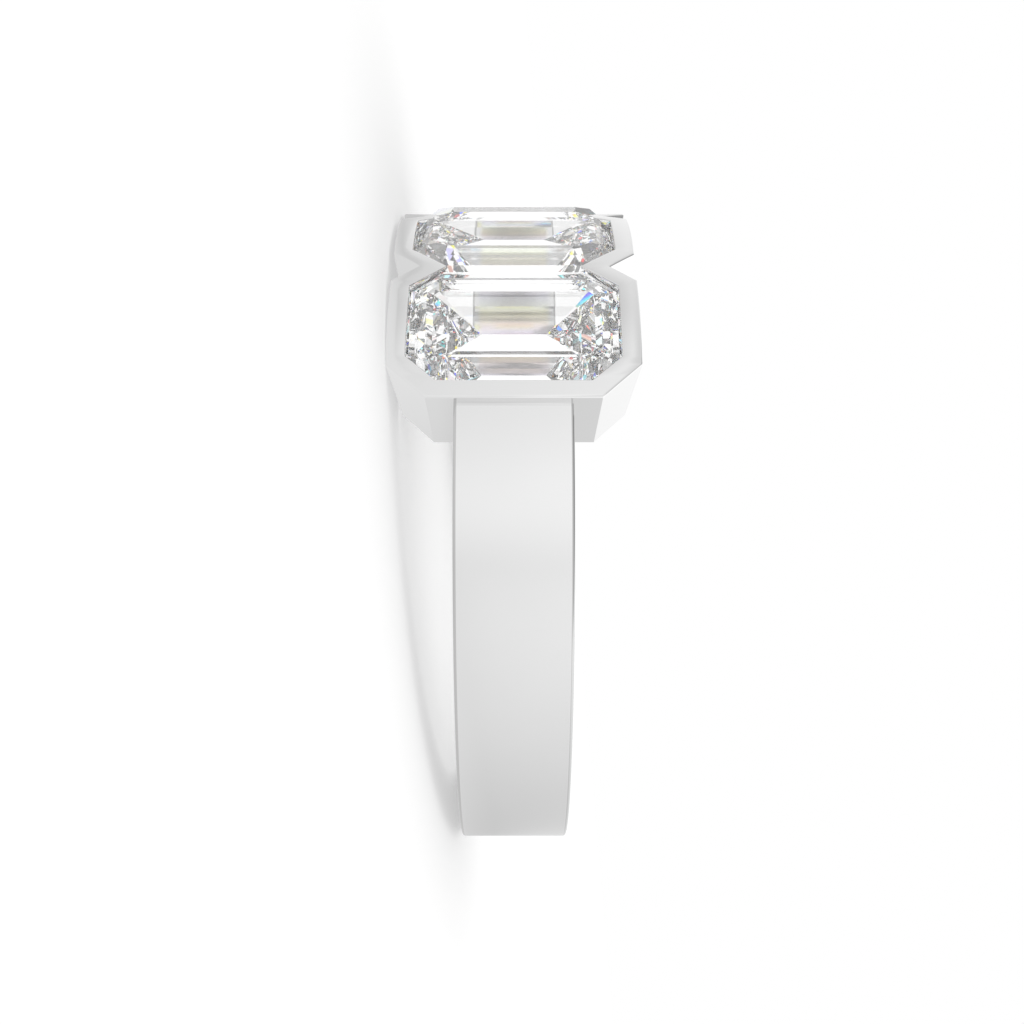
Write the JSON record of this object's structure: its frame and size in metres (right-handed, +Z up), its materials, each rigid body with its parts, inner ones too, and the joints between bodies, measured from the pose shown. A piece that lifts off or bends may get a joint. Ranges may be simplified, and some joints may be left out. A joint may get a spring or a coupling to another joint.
{
  "type": "three-stone ring",
  "caption": "Finger ring with a flat plain band and a row of octagonal bezels over the top, each holding a clear emerald-cut stone.",
  "frame": {"origin": "centre of the footprint, on the surface that the ring lies on", "axes": "+Z up from the surface; -Y from the finger hole towards the middle stone; +X along the row of stones. The axis of the finger hole leans 5.7 degrees from +Z towards +Y, because the wide bezels lift that side"},
  "size_m": [0.0214, 0.0222, 0.0076],
  "materials": {
    "white_gold": "polished white gold",
    "diamond": "clear, cut and polished"
  },
  "bodies": {
    "root": {"ring_setting": "white_gold", "stone_centre": "diamond", "stone_left": "diamond", "stone_right": "diamond"}
  },
  "joints": []
}
